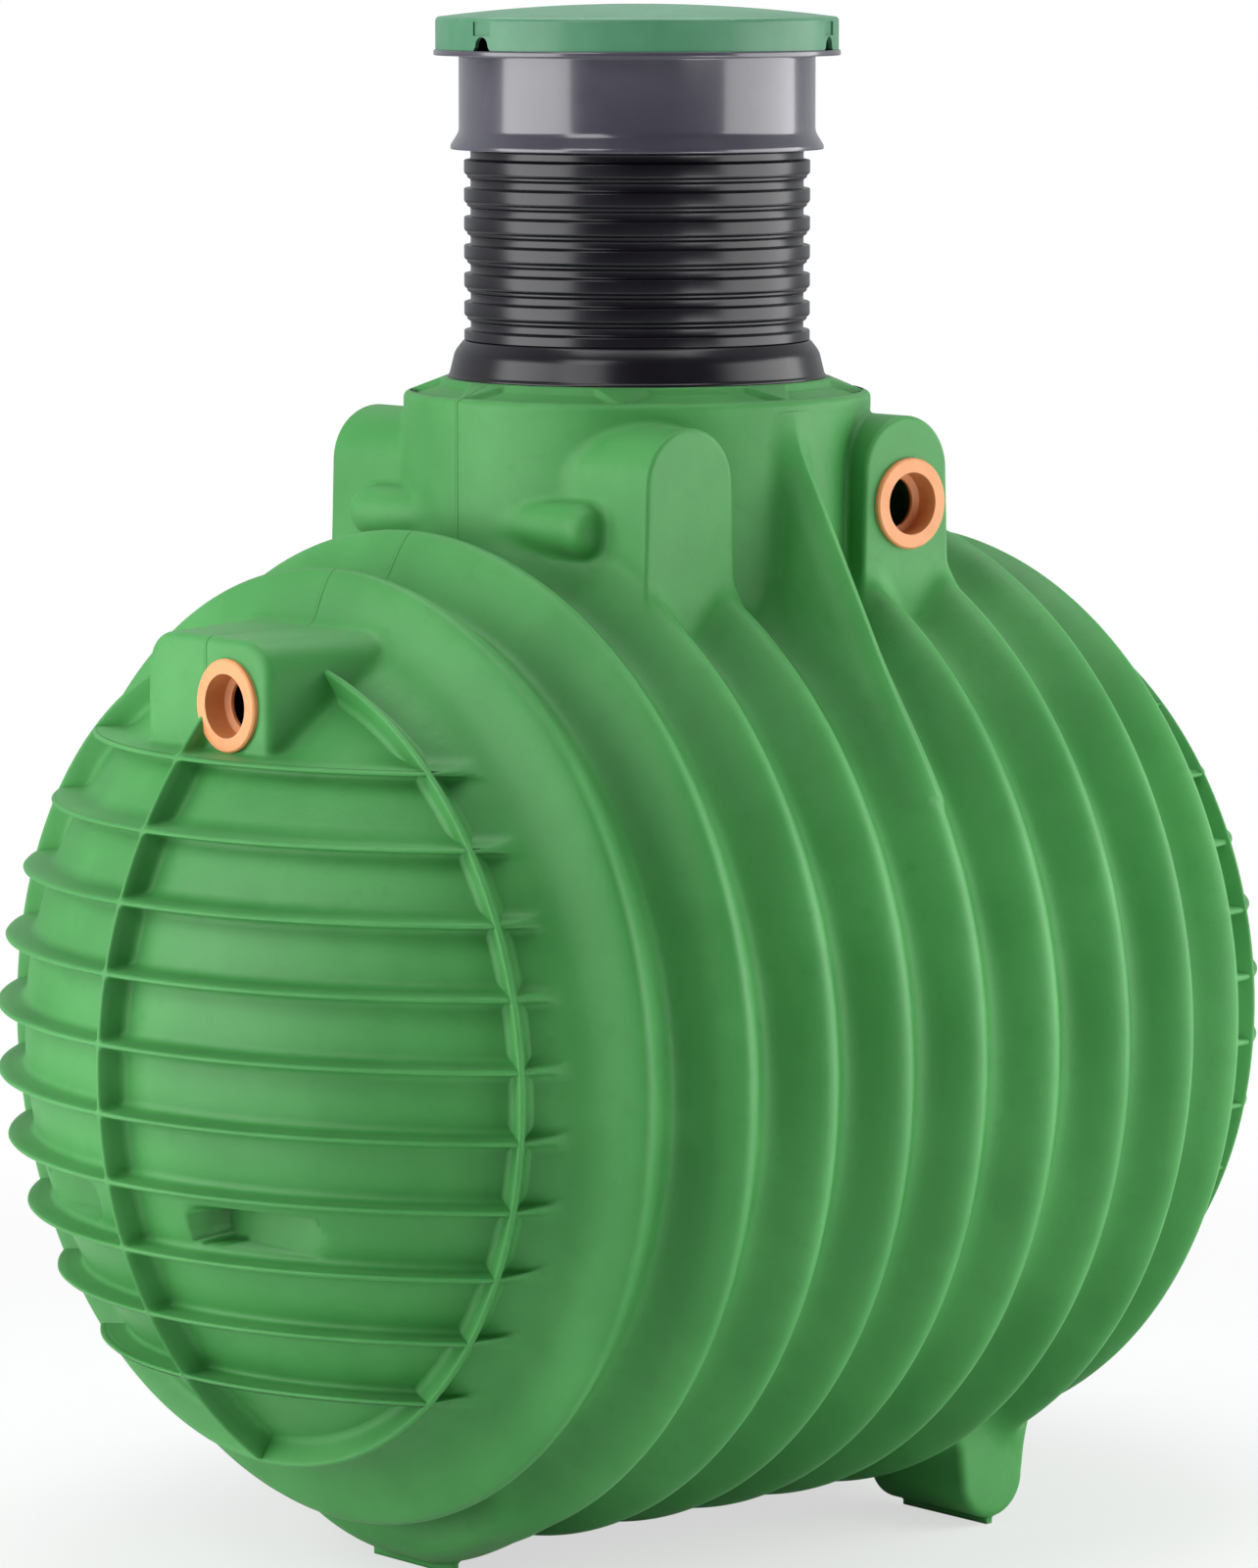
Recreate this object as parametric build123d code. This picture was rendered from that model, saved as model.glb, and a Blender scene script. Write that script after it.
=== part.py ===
from build123d import *
import os
from math import asin, cos, degrees, radians, sin, sqrt

# Wastewater holding tank, rotation moulded polyethylene, about 4.5 cubic metres.
# Frame: millimetres, Z up, origin on the floor under the riser axis.
# The tank axis runs along X, the inlet end is at -X, the seen flank at -Y.

# overall stance
AXIS_Z = 939.0            # tank axis above the floor
SEGMENTS = 8              # wall segments round the tank axis

# barrel: nine deep rings
RING_PITCH = 171.0
RING_COUNT = 9
CREST_R = 900.0           # middle rings
CREST_R_SECOND = 888.0    # second ring from each end
CREST_R_END = 832.0       # first ring from each end
VALLEY_R = 836.0
VALLEY_R_THIRD = 828.0    # valley between the second and third ring
VALLEY_R_SECOND = 786.0   # valley between the end ring and the second
CREST_WALL = 20.0         # wall measured radially at a crest
VALLEY_WALL = 10.0        # wall measured radially in a valley
WAVE_STIFFNESS = 1.0      # how broad the ring crests and valleys are

# domed ends
DOME_R = 850.0            # outside radius of the dome
DOME_WALL = 12.0
DOME_CENTRE_X = 301.0     # centre of the dome sphere from mid length
SEAM_X = 745.0            # mould line between barrel and end

# ribs on the domed ends
RIB_RISE = 50.0           # height of a rib above the dome
RIB_T = 10.0
CROSS_RIB_COUNT = 10
CROSS_RIB_PITCH = 118.4
CROSS_RIB_TOP = 530.0     # highest cross rib above the axis
LOOP_R = 703.0            # ring rib about the tank axis
TAPER_END_X = 765.0       # where the rib ends run out on the dome

# pockets sunk into the ends, one each side of the middle rib
POCKET_Y0 = 130.0
POCKET_Y1 = 385.0
POCKET_Z0 = -275.0
POCKET_Z1 = -215.0
POCKET_FLOOR_X = 1020.0
POCKET_WALL = 10.0

# neck on top of the barrel
NECK_R = 414.5
NECK_WALL = 14.0
NECK_SEGMENTS = 8         # wall segments round the neck
NECK_TOP = 1100.0         # top edge of the neck above the axis
SHOULDER_TOP = 1135.0     # riser seat above the axis
SHOULDER_SEAT_R = 345.0   # where the slope ends and the riser seat begins
SHOULDER_BORE_R = 290.0
SHOULDER_WALL = 14.0
SHOULDER_EDGE = 6.0       # bevel where the neck turns into the shoulder
PANEL_DROP = 8.0          # sunk panels between the gussets
GUSSETS = 8               # arrowhead gussets that point outward
GUSSET_HALF = 46.0
GUSSET_TIP_R = 404.0
NECK_ROOT = 600.0         # hidden foot of the neck, cut away by the rings
MANHOLE_R = 385.0         # hole in the barrel under the neck

# connection boxes round the neck
BOX_X = 252.0
BOX_FACE_Y = 434.0
BOX_HALF_TOP = 97.0
BOX_HALF_BASE = 110.0
BOX_TOP = 1076.0
BOX_BASE = 560.0          # hidden inside the rings, cut away by them
BOX_WALL = 12.0
LOBE_X = 368.0            # rounded lobe beside each box
LOBE_Z = 898.0
LOBE_R = 46.0
LOBE_END_Y = 335.0
LOBE_ROUND = 30.0
WINDOW_HALF = 67.0        # opening from the neck into each box
WINDOW_TOP = 1016.0
WINDOW_LOW = 860.0
WINDOW_X = 242.0

# buttress fins between the middle ring and the neck
FIN_HALF = 40.0
FIN_APEX_Z = 1068.0
FIN_NOSE_R = 26.0
FIN_ROOT = 0.9            # hidden root of the fin, as a share of what carries it

# inlet box on the domed end
INLET_FACE_X = 965.0
INLET_HALF_Y = 190.0
INLET_TOP_Z = 735.0
INLET_LOW_Z = 542.0
INLET_ROUND = 45.0
INLET_WALL = 12.0

# lip seals for 110 mm pipe
SEAL_R = 80.0
SEAL_FLANGE_T = 10.0
SEAL_BORE_R = 55.0
SEAL_NECK_R = 65.0
SEAL_NECK_L = 44.0
SEAL_LIP_R = 44.0
SEAL_LIP_T = 6.0
SEAL_BEVEL = 3.0
SEAL_HOLE_R = SEAL_NECK_R + 0.2
INLET_SEAL_Y = -66.0
INLET_SEAL_Z = 619.0
OUTLET_SEAL_X = 256.5
OUTLET_SEAL_Z = 922.0

# feet
FOOT_HALF = 75.0
FOOT_LOW = 925.0          # lowest line of the rounded foot below the axis
FOOT_X_OUTER = 472.0
FOOT_OUTER_Y0 = 185.0
FOOT_OUTER_Y1 = 439.0
FOOT_X_CENTRE = 513.0
FOOT_CENTRE_HALF_Y = 115.0
FOOT_CENTRE_FLANK_Y = 320.0
FOOT_CENTRE_FLANK_Z = 830.0
SEAM_RIDGE_T = 14.0
SEAM_RIDGE_INSET = 34.0

# riser
RIM_R = 336.0
RIM_T = 8.0
SKIRT_R = 328.0
SKIRT_TOP = 46.0          # top of the skirt above the shoulder
CONE_TOP = 68.0
RISER_R = 306.5
RISER_GROOVE_R = 295.0
RISER_LIP_R = 301.0
RISER_BORE_R = 284.0
RISER_PITCH = 50.0
RISER_RINGS = 9
RISER_FIRST = 86.0        # first groove above the shoulder
GROOVE_SLOPE = 4.0
GROOVE_W = 5.0
LIP_SLOPE = 3.0
LIP_W = 6.0
RISER_CAP = 40.0          # plain end that the sleeve's lip wipes when drawn out

# telescopic sleeve
SLEEVE_R = 315.5
SLEEVE_CLEAR = 3.0        # all round between sleeve and riser
SLEEVE_LIP_CLEAR = 0.2    # at the wiping lip near the sleeve's foot
SLEEVE_LIP_H = 26.0
SLEEVE_LIP_UP = 8.0       # the lip above the sleeve's foot
SLEEVE_LIP_LEAD = 4.0
SLEEVE_FOOT_T = 6.0
SLEEVE_BEVEL = 3.0
SLEEVE_LOW = 1538.0       # above the tank axis
SLEEVE_FLARE_R = 330.5
SLEEVE_FLARE_H = 31.0
FLANGE_LOW = 1703.0
FLANGE_R = 360.0
FLANGE_T = 10.0

# lid
LID_R = 356.5
LID_WALL = 8.0
LID_SIDE_H = 58.0
LID_DOME_H = 22.0
LID_ROUND = 8.0
LID_GAP = 0.3
LID_SPIGOT_R = 301.0
LID_SPIGOT_H = 18.0
LID_SPIGOT_T = 6.0
CATCHES = 3
CATCH_W = 46.0
CATCH_H = 24.0
CATCH_TAPER = 6.0
CATCH_DEPTH = 35.5
CATCH_POCKET_H = 24.0
CATCH_POCKET_T = 4.0


def wave(points):
    """One smooth line through crest and valley points, level at each of them."""
    level = [(1, 0)] * len(points)
    return Spline(*points, tangents=level, tangent_scalars=[WAVE_STIFFNESS] * len(points))


def ring_points(crest_cut, valley_cut):
    """Crests and valleys from end to end, moved inward by the two cuts."""
    dome_r = DOME_R if crest_cut == 0 else DOME_R - DOME_WALL
    end_r = sqrt(dome_r**2 - (SEAM_X - DOME_CENTRE_X) ** 2)
    crests = {0: CREST_R_END, 1: CREST_R_SECOND}
    valleys = {0: VALLEY_R_SECOND, 1: VALLEY_R_THIRD}
    half = RING_COUNT // 2
    right = [(SEAM_X, end_r)]
    for i in range(half):
        x = (half - i) * RING_PITCH
        right.append((x, crests.get(i, CREST_R) - crest_cut))
        right.append((x - RING_PITCH / 2, valleys.get(i, VALLEY_R) - valley_cut))
    middle = [(0.0, CREST_R - crest_cut)]
    left = [(-x, r) for x, r in right]
    return left + middle + right[::-1]


def barrel_solid(crest_cut=0.0, valley_cut=0.0):
    """The barrel as a full solid of revolution about the tank axis."""
    points = ring_points(crest_cut, valley_cut)
    end = Polyline(points[-1], (points[-1][0], 0), (points[0][0], 0), points[0])
    face = make_face([wave(points), end])
    return revolve(Plane.XZ * face, Axis.X, 360)


def barrel_segments():
    """Wall segments: the ring profile turned through one segment each."""
    outer = ring_points(0, 0)
    inner = ring_points(CREST_WALL, VALLEY_WALL)
    ends = [Line(outer[0], inner[0]), Line(outer[-1], inner[-1])]
    face = make_face([wave(outer), wave(inner)] + ends)
    step = 360 / SEGMENTS
    strip = revolve(Plane.XZ * face, Axis.X, step)
    upright = Rot(X=-step / 2) * strip
    names = ["crown", "upper_front", "front", "lower_front",
             "bottom", "lower_rear", "rear", "upper_rear"]
    manhole = Pos(Z=VALLEY_R) * Cylinder(MANHOLE_R, VALLEY_R)
    parts = {}
    for i, name in enumerate(names):
        piece = Rot(X=step * i) * upright
        if name in ("upper_front", "upper_rear"):
            piece = piece - manhole
        if name == "crown":
            halves = (piece - manhole).solids().sort_by(Axis.X)
            parts["shell_crown_inlet"] = halves[0]
            parts["shell_crown_outlet"] = halves[-1]
        else:
            parts["shell_" + name] = piece
    return parts


def dome_solid(radius):
    """A domed end as a full solid, at the +X end."""
    end_r = sqrt(radius**2 - (SEAM_X - DOME_CENTRE_X) ** 2)
    tip = DOME_CENTRE_X + radius
    bulge = radius * cos(radians(30))
    mid = (DOME_CENTRE_X + bulge, radius * sin(radians(30)))
    arc = ThreePointArc((SEAM_X, end_r), mid, (tip, 0))
    rest = Polyline((tip, 0), (SEAM_X, 0), (SEAM_X, end_r))
    return revolve(Plane.XZ * make_face([arc, rest]), Axis.X, 360)


def pocket_boxes(grow):
    """The two pockets, grown all round by the liner wall when asked."""
    length = DOME_R
    width = POCKET_Y1 - POCKET_Y0 + 2 * grow
    height = POCKET_Z1 - POCKET_Z0 + 2 * grow
    x = POCKET_FLOOR_X - grow + length / 2
    z = (POCKET_Z0 + POCKET_Z1) / 2
    y = (POCKET_Y0 + POCKET_Y1) / 2
    return [Pos(x, side * y, z) * Box(length, width, height) for side in (-1, 1)]


def end_shell():
    """Domed end with its two sunk pockets, at the +X end."""
    outer = dome_solid(DOME_R)
    inner = dome_solid(DOME_R - DOME_WALL)
    for box in pocket_boxes(0):
        outer = outer - box
    for box in pocket_boxes(POCKET_WALL):
        inner = inner - box
    return outer - inner


def rib_grid():
    """Cross ribs, middle rib and ring rib, one solid, at the +X end."""
    edge_r = DOME_R + RIB_RISE
    out_r = LOOP_R + RIB_T / 2
    out_x = DOME_CENTRE_X + sqrt(edge_r**2 - out_r**2)
    end_r = sqrt(DOME_R**2 - (TAPER_END_X - DOME_CENTRE_X) ** 2)
    mid = (DOME_CENTRE_X + edge_r * cos(radians(25)), edge_r * sin(radians(25)))
    low = (DOME_CENTRE_X + DOME_R * cos(radians(25)), DOME_R * sin(radians(25)))
    top = ThreePointArc((DOME_CENTRE_X + edge_r, 0), mid, (out_x, out_r))
    slope = Line((out_x, out_r), (TAPER_END_X, end_r))
    base = ThreePointArc((TAPER_END_X, end_r), low, (DOME_CENTRE_X + DOME_R, 0))
    tip = Line((DOME_CENTRE_X + DOME_R, 0), (DOME_CENTRE_X + edge_r, 0))
    room = revolve(Plane.XZ * make_face([top, slope, base, tip]), Axis.X, 360)
    span = 2 * edge_r
    plates = [Box(span, RIB_T, span)]
    for i in range(CROSS_RIB_COUNT):
        z = CROSS_RIB_TOP - i * CROSS_RIB_PITCH
        plates.append(Pos(Z=z) * Box(span, span, RIB_T))
    tube = Cylinder(LOOP_R + RIB_T / 2, span) - Cylinder(LOOP_R - RIB_T / 2, span)
    plates.append(Rot(Y=90) * tube)
    grid = plates[0].fuse(*plates[1:])
    return (Pos(X=DOME_CENTRE_X) * grid) & room


def arch_face(half_top, half_base, top, base):
    """Round topped outline with drafted sides, upright in its own plane."""
    spring = top - half_top
    left = Line((-half_base, base), (-half_top, spring))
    arch = ThreePointArc((-half_top, spring), (0, top), (half_top, spring))
    right = Line((half_top, spring), (half_base, base))
    floor = Line((half_base, base), (-half_base, base))
    return make_face([left, arch, right, floor])


def neck_box(tool, with_port):
    """Hollow connection box with its side lobe, at +X and -Y."""
    outline = arch_face(BOX_HALF_TOP, BOX_HALF_BASE, BOX_TOP, BOX_BASE)
    room = arch_face(BOX_HALF_TOP - BOX_WALL, BOX_HALF_BASE - BOX_WALL,
                     BOX_TOP - BOX_WALL, BOX_BASE)
    body = Pos(X=BOX_X) * extrude(Plane.XZ * outline, BOX_FACE_Y)
    rod = Pos(Y=-LOBE_END_Y / 2) * Rot(X=90) * Cylinder(LOBE_R, LOBE_END_Y)
    rod = fillet(rod.faces().sort_by(Axis.Y)[0].edges(), LOBE_ROUND)
    lobe = Pos(X=LOBE_X, Z=LOBE_Z) * rod
    hollow = Pos(X=BOX_X) * extrude(Plane.XZ * room, BOX_FACE_Y - BOX_WALL)
    box = (body + lobe) - hollow - tool
    if with_port:
        drill = Rot(X=90) * Cylinder(SEAL_HOLE_R, 4 * BOX_WALL)
        box = box - Pos(OUTLET_SEAL_X, -BOX_FACE_Y, OUTLET_SEAL_Z) * drill
    return box


def seal():
    """Lip seal along +Z: flange on top of z = 0, neck below it."""
    profile = Polyline(
        (SEAL_BORE_R, SEAL_FLANGE_T),
        (SEAL_R - SEAL_BEVEL, SEAL_FLANGE_T),
        (SEAL_R, SEAL_FLANGE_T - SEAL_BEVEL),
        (SEAL_R, 0),
        (SEAL_NECK_R, 0),
        (SEAL_NECK_R, -SEAL_NECK_L),
        (SEAL_LIP_R, -SEAL_NECK_L),
        (SEAL_LIP_R, -SEAL_NECK_L + SEAL_LIP_T),
        (SEAL_BORE_R, -SEAL_NECK_L + 2 * SEAL_LIP_T),
        close=True,
    )
    return revolve(Plane.XZ * make_face(profile), Axis.Z, 360)


def fin(tool):
    """Buttress on the -Y side: the middle ring carried up to the neck."""
    reach = sqrt(NECK_R**2 + FIN_APEX_Z**2)
    spread = degrees(asin(CREST_R / reach))
    lean = degrees(asin(NECK_R / reach))
    angle = radians(90 - lean - (90 - spread))
    touch = (-CREST_R * cos(angle), CREST_R * sin(angle))
    outline = Polyline(
        (-NECK_R, FIN_APEX_Z),
        touch,
        (touch[0] * FIN_ROOT, touch[1] * FIN_ROOT),
        (-NECK_R * FIN_ROOT, VALLEY_R * FIN_ROOT**2),
        (-NECK_R * FIN_ROOT, FIN_APEX_Z),
        close=True,
    )
    plate = extrude(Plane.YZ * make_face(outline), FIN_HALF, both=True)
    sloping = plate.faces().sort_by(Axis.Y)[0]
    nose = [e for e in sloping.edges() if abs(e.center().X) > FIN_HALF / 2]
    return fillet(nose, FIN_NOSE_R) - tool


def foot_profile(low):
    """U outline with a half round bottom, and the seam ridge under it."""
    spring = -(low - FOOT_HALF)
    up = spring + 2 * FOOT_HALF
    left = Line((-FOOT_HALF, up), (-FOOT_HALF, spring))
    bowl = ThreePointArc((-FOOT_HALF, spring), (0, -low), (FOOT_HALF, spring))
    right = Line((FOOT_HALF, spring), (FOOT_HALF, up))
    lid = Line((FOOT_HALF, up), (-FOOT_HALF, up))
    return make_face([left, bowl, right, lid])


def seam_ridge(length):
    """Narrow ridge along Y that the foot stands on."""
    height = AXIS_Z - FOOT_LOW + SEAM_RIDGE_INSET
    return Pos(Z=-AXIS_Z + height / 2) * Box(SEAM_RIDGE_T, length, height)


def outer_foot(tool):
    """Foot at the outlet end on the -Y side."""
    length = FOOT_OUTER_Y1 - FOOT_OUTER_Y0
    bar = extrude(Plane.XZ * foot_profile(FOOT_LOW), length)
    bar = Pos(Y=-FOOT_OUTER_Y0) * bar
    run = length - SEAM_RIDGE_INSET
    ridge = Pos(Y=-FOOT_OUTER_Y1 + run / 2) * seam_ridge(run)
    return Pos(X=FOOT_X_OUTER) * (bar + ridge) - tool


def centre_foot(tool):
    """Single wide foot across the inlet end."""
    slab = extrude(Plane.XZ * foot_profile(FOOT_LOW), FOOT_CENTRE_FLANK_Y, both=True)
    flank = Polyline(
        (-FOOT_CENTRE_FLANK_Y, -FOOT_CENTRE_FLANK_Z),
        (-FOOT_CENTRE_HALF_Y, -AXIS_Z),
        (FOOT_CENTRE_HALF_Y, -AXIS_Z),
        (FOOT_CENTRE_FLANK_Y, -FOOT_CENTRE_FLANK_Z),
        (FOOT_CENTRE_FLANK_Y, -VALLEY_R / 2),
        (-FOOT_CENTRE_FLANK_Y, -VALLEY_R / 2),
        close=True,
    )
    keep = extrude(Plane.YZ * make_face(flank), FOOT_HALF, both=True)
    ridge = seam_ridge(2 * FOOT_CENTRE_HALF_Y - SEAM_RIDGE_INSET)
    return Pos(X=-FOOT_X_CENTRE) * ((slab & keep) + ridge) - tool


def neck_segments(tool):
    """Round neck from the barrel up to the shoulder, in segments, with box openings."""
    step = 360 / NECK_SEGMENTS
    height = NECK_TOP - NECK_ROOT
    strip = Pos(NECK_R - NECK_WALL / 2, NECK_ROOT + height / 2) * Rectangle(NECK_WALL, height)
    upright = Rot(Z=-step / 2) * revolve(Plane.XZ * strip, Axis.Z, step)
    window = arch_face(WINDOW_HALF, WINDOW_HALF, WINDOW_TOP, WINDOW_LOW)
    through = extrude(Plane.XZ * window, 2 * NECK_R, both=True)
    names = ["outlet", "outlet_rear", "rear", "inlet_rear",
             "inlet", "inlet_front", "front", "outlet_front"]
    parts = {}
    for i, name in enumerate(names):
        piece = Rot(Z=step * i) * upright - tool
        if "_" in name:
            side = -1 if name.startswith("inlet") else 1
            piece = piece - Pos(X=side * WINDOW_X) * through
        parts["neck_" + name] = piece
    return parts


def shoulder():
    """Sloping top of the neck: riser seat, sunk panels and arrowhead gussets."""
    edge = (NECK_R - SHOULDER_EDGE, NECK_TOP + 2 * SHOULDER_EDGE)
    seat = (SHOULDER_SEAT_R, SHOULDER_TOP)
    profile = Polyline(
        (NECK_R, NECK_TOP),
        (NECK_R, NECK_TOP + SHOULDER_EDGE),
        edge,
        (edge[0] - PANEL_DROP, edge[1] - PANEL_DROP / 2),
        (seat[0] + PANEL_DROP / 2, seat[1] - PANEL_DROP),
        seat,
        (SHOULDER_BORE_R, SHOULDER_TOP),
        (SHOULDER_BORE_R, SHOULDER_TOP - SHOULDER_WALL),
        (SHOULDER_SEAT_R, SHOULDER_TOP - SHOULDER_WALL - PANEL_DROP),
        (NECK_R - NECK_WALL - SHOULDER_EDGE, NECK_TOP),
        close=True,
    )
    ring = revolve(Plane.XZ * make_face(profile), Axis.Z, 360)
    inner = (SHOULDER_SEAT_R, SHOULDER_TOP - SHOULDER_WALL)
    outer = (edge[0], edge[1] - SHOULDER_WALL / 2)
    slab = revolve(Plane.XZ * make_face(Polyline(seat, edge, outer, inner, close=True)), Axis.Z, 360)
    base = SHOULDER_SEAT_R - PANEL_DROP
    arrow = Polyline((GUSSET_TIP_R, 0), (base, GUSSET_HALF), (base, -GUSSET_HALF), close=True)
    prism = extrude(make_face(arrow), SHOULDER_TOP)
    gussets = [slab & (Rot(Z=i * 360 / GUSSETS) * prism) for i in range(GUSSETS)]
    return ring.fuse(*gussets)


def riser_base():
    """Black skirted socket standing on the shoulder."""
    z = SHOULDER_TOP
    profile = Polyline(
        (RISER_BORE_R, z),
        (RIM_R, z),
        (RIM_R, z + RIM_T),
        (SKIRT_R, z + RIM_T),
        (SKIRT_R, z + SKIRT_TOP),
        (RISER_R, z + CONE_TOP),
        (RISER_BORE_R, z + CONE_TOP),
        close=True,
    )
    return revolve(Plane.XZ * make_face(profile), Axis.Z, 360)


def riser_pipe():
    """Corrugated riser: bands, a small lip and a groove at each step."""
    z = SHOULDER_TOP + CONE_TOP
    points = [(RISER_BORE_R, z), (RISER_R, z)]
    for i in range(RISER_RINGS):
        low = SHOULDER_TOP + RISER_FIRST + i * RISER_PITCH
        lip = low + GROOVE_W + LIP_SLOPE
        points += [(RISER_R, low - GROOVE_SLOPE), (RISER_GROOVE_R, low)]
        points += [(RISER_GROOVE_R, low + GROOVE_W), (RISER_LIP_R, lip)]
        points += [(RISER_LIP_R, lip + LIP_W), (RISER_R, lip + LIP_W + LIP_SLOPE)]
    top = points[-1][1] + RISER_CAP
    points += [(RISER_R, top), (RISER_BORE_R, top)]
    return revolve(Plane.XZ * make_face(Polyline(*points, close=True)), Axis.Z, 360)


def sleeve():
    """Grey telescopic sleeve with its flare and top flange."""
    bore = RISER_R + SLEEVE_CLEAR
    flange_top = FLANGE_LOW + FLANGE_T
    lip = RISER_R + SLEEVE_LIP_CLEAR
    lip_low = SLEEVE_LOW + SLEEVE_LIP_UP
    lip_top = lip_low + SLEEVE_LIP_H
    profile = Polyline(
        (bore, lip_top + SLEEVE_LIP_LEAD),
        (lip, lip_top),
        (lip, lip_low),
        (SLEEVE_FLARE_R - SLEEVE_FOOT_T, SLEEVE_LOW),
        (SLEEVE_FLARE_R, SLEEVE_LOW),
        (SLEEVE_R, SLEEVE_LOW + SLEEVE_FLARE_H),
        (SLEEVE_R, FLANGE_LOW - SLEEVE_BEVEL),
        (SLEEVE_R + SLEEVE_BEVEL, FLANGE_LOW),
        (FLANGE_R - SLEEVE_BEVEL, FLANGE_LOW),
        (FLANGE_R, FLANGE_LOW + SLEEVE_BEVEL),
        (FLANGE_R, flange_top),
        (bore, flange_top),
        close=True,
    )
    return revolve(Plane.XZ * make_face(profile), Axis.Z, 360)


def lid_solid(radius, side, top, round_r):
    """Round cap with a level foot at z = 0, low sides and a domed top."""
    edge = radius - round_r
    rise = top - side
    sphere_r = (edge**2 + rise**2) / (2 * rise)
    half_way = top - sphere_r + sqrt(sphere_r**2 - (edge / 2) ** 2)
    crown = ThreePointArc((edge, side), (edge / 2, half_way), (0, top))
    bend = 1 - sqrt(0.5)
    corner = ThreePointArc(
        (radius, side - round_r), (radius - bend * round_r, side - bend * round_r), (edge, side))
    rest = Polyline((0, top), (0, 0), (radius, 0), (radius, side - round_r))
    return revolve(Plane.XZ * make_face([crown, corner, rest]), Axis.Z, 360)


def lid():
    """Domed lid with a spigot, three pockets and three catch arches."""
    top = LID_SIDE_H + LID_DOME_H
    body = lid_solid(LID_R, LID_SIDE_H, top, LID_ROUND)
    body = body - lid_solid(LID_R - LID_WALL, LID_SIDE_H - LID_WALL, top - LID_WALL, LID_ROUND / 2)
    spigot_h = LID_SPIGOT_H + LID_SIDE_H
    spigot = Cylinder(LID_SPIGOT_R, spigot_h) - Cylinder(LID_SPIGOT_R - LID_SPIGOT_T, spigot_h)
    body = body + Pos(Z=spigot_h / 2 - LID_SPIGOT_H) * spigot
    arch = arch_face(CATCH_W / 2 - CATCH_TAPER, CATCH_W / 2, CATCH_H, -LID_GAP)
    core = Cylinder(LID_R - CATCH_DEPTH, 2 * LID_SIDE_H)
    cut = extrude(Plane.YZ * arch, 2 * LID_R) - core
    notch = Box(2 * CATCH_POCKET_T, CATCH_W, CATCH_POCKET_H)
    notch = Pos(LID_R, 0, LID_SIDE_H - LID_ROUND - CATCH_POCKET_H / 2) * notch
    for i in range(CATCHES):
        turn = Rot(Z=180 + i * 360 / CATCHES)
        body = body - turn * cut - turn * notch
    return Pos(Z=FLANGE_LOW + FLANGE_T + LID_GAP) * body


def build():
    """All pieces in the tank frame, then lifted onto the floor."""
    parts = barrel_segments()
    barrel = barrel_solid()
    dome = dome_solid(DOME_R)
    neck_core = Pos(Z=NECK_TOP / 2) * Cylinder(NECK_R, NECK_TOP)
    flip = Rot(Z=180)

    shell = end_shell()
    grid = rib_grid()
    passage = Pos(-DOME_CENTRE_X - DOME_R, INLET_SEAL_Y, INLET_SEAL_Z) * (
        Rot(Y=90) * Cylinder(SEAL_HOLE_R, 2 * DOME_R))
    parts["outlet_end"] = shell
    parts["outlet_end_ribs"] = grid
    parts["inlet_end"] = flip * shell - passage

    size_z = INLET_TOP_Z - INLET_LOW_Z
    middle_z = (INLET_TOP_Z + INLET_LOW_Z) / 2
    length = INLET_FACE_X - (RING_COUNT // 2) * RING_PITCH
    nose = Box(length, 2 * INLET_HALF_Y, size_z)
    nose = fillet(nose.edges().filter_by(Axis.X).group_by(Axis.Z)[-1], INLET_ROUND)
    nose = Pos(-INLET_FACE_X + length / 2, 0, middle_z) * nose
    room = Box(length, 2 * (INLET_HALF_Y - INLET_WALL), size_z - 2 * INLET_WALL)
    room = Pos(-INLET_FACE_X + INLET_WALL + length / 2, 0, middle_z) * room
    inlet_tool = barrel.fuse(flip * dome)
    drill = Pos(-INLET_FACE_X, INLET_SEAL_Y, INLET_SEAL_Z) * (
        Rot(Y=90) * Cylinder(SEAL_HOLE_R, 4 * INLET_WALL))
    parts["inlet_box"] = nose - room - inlet_tool - drill
    seal_room = Pos(-INLET_FACE_X, INLET_SEAL_Y, INLET_SEAL_Z) * (
        Rot(Y=90) * Cylinder(SEAL_R + RIB_T / 2, 6 * SEAL_FLANGE_T))
    parts["inlet_end_ribs"] = flip * grid - nose - seal_room

    parts.update(neck_segments(barrel))
    parts["neck_shoulder"] = shoulder()
    box_tool = barrel.fuse(neck_core)
    blank = neck_box(box_tool, False)
    port = neck_box(box_tool, True)
    parts["box_outlet_front"] = port
    parts["box_outlet_rear"] = mirror(blank, Plane.XZ)
    parts["box_inlet_front"] = mirror(blank, Plane.YZ)
    parts["box_inlet_rear"] = flip * blank

    one_fin = fin(box_tool)
    parts["fin_front"] = one_fin
    parts["fin_rear"] = flip * one_fin

    parts["foot_inlet_end"] = centre_foot(barrel)
    parts["foot_outlet_front"] = outer_foot(barrel)
    parts["foot_outlet_rear"] = mirror(parts["foot_outlet_front"], Plane.XZ)

    one_seal = seal()
    parts["inlet_seal"] = Pos(-INLET_FACE_X, INLET_SEAL_Y, INLET_SEAL_Z) * (
        Rot(Y=-90) * one_seal)
    parts["outlet_seal"] = Pos(OUTLET_SEAL_X, -BOX_FACE_Y, OUTLET_SEAL_Z) * (
        Rot(X=90) * one_seal)

    parts["riser_base"] = riser_base()
    parts["riser_pipe"] = riser_pipe()
    parts["sleeve"] = sleeve()
    parts["lid"] = lid()
    return {name: Pos(Z=AXIS_Z) * piece for name, piece in parts.items()}


os.makedirs("parts", exist_ok=True)
for node, solid in build().items():
    export_step(solid, "parts/" + node + ".step")
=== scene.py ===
import math

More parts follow.
